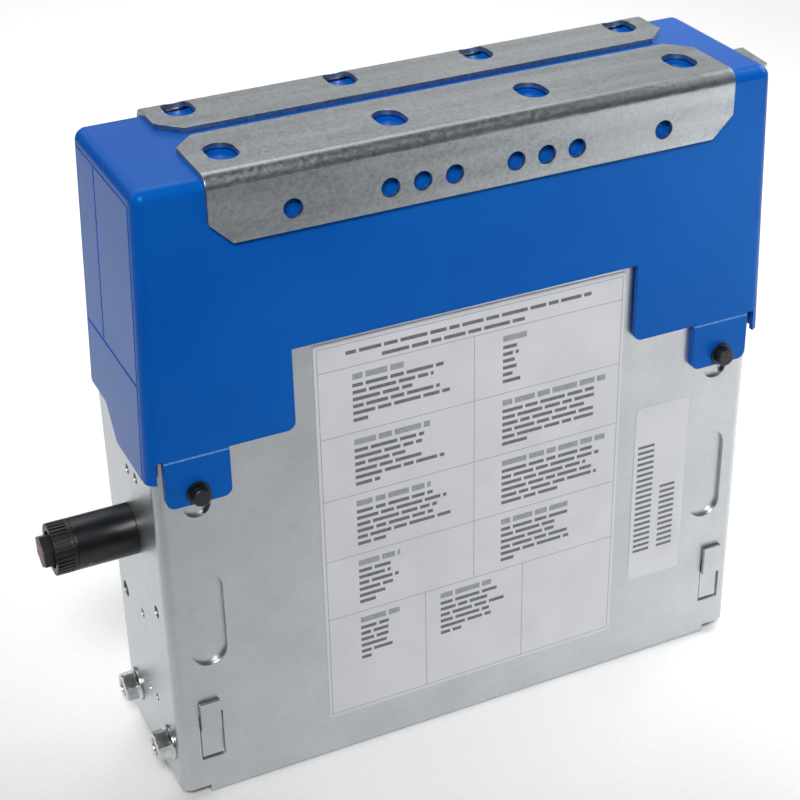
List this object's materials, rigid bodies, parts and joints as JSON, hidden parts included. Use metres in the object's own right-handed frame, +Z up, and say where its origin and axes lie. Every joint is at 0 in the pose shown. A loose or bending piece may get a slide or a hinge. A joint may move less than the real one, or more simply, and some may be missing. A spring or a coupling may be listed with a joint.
{
  "type": "overspeed governor",
  "caption": "Elevator overspeed governor: flat galvanised housing with a blue moulded cover, slotted mounting angles, a rope sheave with centrifugal weights, and a side reset plunger.",
  "frame": {"origin": "middle of the housing's underside, on the bottom flange", "axes": "+X to the right along the front, +Y from the front panel to the back, +Z up"},
  "size_m": [0.3467, 0.0882, 0.3145],
  "materials": {
    "galvanised": "hot-dip galvanised sheet, satin, faint spangle",
    "galvanised_angle": "hot-dip galvanised, mottled spangle",
    "zinc_plated": "bright zinc plated",
    "bright_steel": "ground or drawn bright steel",
    "dark_steel": "phosphated dark steel",
    "cast_iron": "machined cast iron",
    "blue_plastic": "moulded, fine satin",
    "black_plastic": "satin black moulded",
    "black_anodised": "satin black",
    "red_plastic": "satin red",
    "white_plastic": "satin white",
    "label_film": "printed film, semi-matt"
  },
  "bodies": {
    "housing": {"front_shell": "galvanised", "rear_panel": "galvanised", "rear_panel_screws": "zinc_plated", "front_frame_plate": "galvanised", "rear_frame_plate": "galvanised", "frame_spacers": "zinc_plated", "frame_screws": "zinc_plated", "tie_bar": "zinc_plated", "side_bolts": "zinc_plated", "sheave_shaft": "bright_steel", "shaft_sleeves": "bright_steel", "bearing_inner_rings": "bright_steel", "ratchet_ring": "bright_steel", "ring_standoffs": "zinc_plated", "ring_screws": "zinc_plated", "overspeed_switch": "black_plastic", "upward_switch": "black_plastic", "switch_standoffs": "zinc_plated", "switch_screws": "zinc_plated", "reset_tube": "black_anodised", "reset_collar": "black_plastic", "reset_locknut": "black_anodised", "reset_spring": "bright_steel", "top_cover": "blue_plastic", "rivet_bodies": "black_plastic", "rivet_pins": "black_plastic", "front_angle": "galvanised_angle", "rear_angle": "galvanised_angle", "angle_studs": "zinc_plated", "angle_nuts": "zinc_plated", "end_lug": "galvanised_angle", "end_lug_rivets": "zinc_plated", "rating_label": "label_film", "narrow_sticker": "label_film"},
    "rotor": {"sheave": "cast_iron", "bearing_outer_rings": "bright_steel", "bearing_balls": "bright_steel", "bearing_circlips": "dark_steel", "weight_pivots": "bright_steel", "pivot_circlips": "dark_steel", "spring_anchor": "bright_steel", "governor_spring": "bright_steel"},
    "weight_a": {"flyweight_a": "dark_steel", "link_pin_a": "bright_steel"},
    "weight_b": {"flyweight_b": "dark_steel", "link_pin_b": "bright_steel"},
    "link": {"tie_link": "zinc_plated"},
    "overspeed_arm": {"overspeed_lever": "zinc_plated"},
    "overspeed_wheel": {"overspeed_roller": "white_plastic"},
    "upward_arm": {"upward_lever": "zinc_plated"},
    "upward_wheel": {"upward_roller": "white_plastic"},
    "plunger": {"reset_rod": "black_plastic", "reset_cap": "red_plastic", "reset_clip": "dark_steel"}
  },
  "joints": [
    {"name": "sheave_spin", "type": "hinge", "parent": "housing", "child": "rotor", "pos_m": [0, 0.0095, 0.167], "axis": [0, 1, 0], "continuous": true},
    {"name": "weight_a_swing", "type": "hinge", "parent": "rotor", "child": "weight_a", "pos_m": [0, -0.013, 0.229], "axis": [0, 1, 0], "range_deg": [0, 8], "stiffness_Nm_per_rad": 3, "springref_deg": -5.73},
    {"name": "weight_b_swing", "type": "hinge", "parent": "rotor", "child": "weight_b", "pos_m": [0, -0.013, 0.105], "axis": [0, 1, 0], "range_deg": [0, 8]},
    {"name": "tie_link_slide", "type": "slide", "parent": "rotor", "child": "link", "axis": [0, 0, -1], "range_m": [0, 0.0034], "deforming": ["governor_spring"]},
    {"name": "overspeed_lever_swing", "type": "hinge", "parent": "housing", "child": "overspeed_arm", "pos_m": [-0.126, -0.0086, 0.136], "axis": [0, -1, 0], "range_deg": [0, 12], "stiffness_Nm_per_rad": 0.08, "springref_deg": -11.46},
    {"name": "overspeed_roller_spin", "type": "hinge", "parent": "overspeed_arm", "child": "overspeed_wheel", "pos_m": [-0.10868, -0.0116, 0.15366], "axis": [0, 1, 0], "continuous": true},
    {"name": "upward_lever_swing", "type": "hinge", "parent": "housing", "child": "upward_arm", "pos_m": [0.126, -0.0086, 0.198], "axis": [0, -1, 0], "range_deg": [0, 12], "stiffness_Nm_per_rad": 0.08, "springref_deg": -11.46},
    {"name": "upward_roller_spin", "type": "hinge", "parent": "upward_arm", "child": "upward_wheel", "pos_m": [0.10868, -0.0116, 0.18035], "axis": [0, 1, 0], "continuous": true},
    {"name": "reset_push", "type": "slide", "parent": "housing", "child": "plunger", "axis": [1, 0, 0], "range_m": [0, 0.005], "stiffness_N_per_m": 400, "springref_m": -0.006, "deforming": ["reset_spring"]}
  ],
  "couplings": [
    {"joint": "weight_b_swing", "follows": "weight_a_swing", "ratio": 1},
    {"joint": "tie_link_slide", "follows": "weight_a_swing", "m_per_rad": 0.02398}
  ]
}
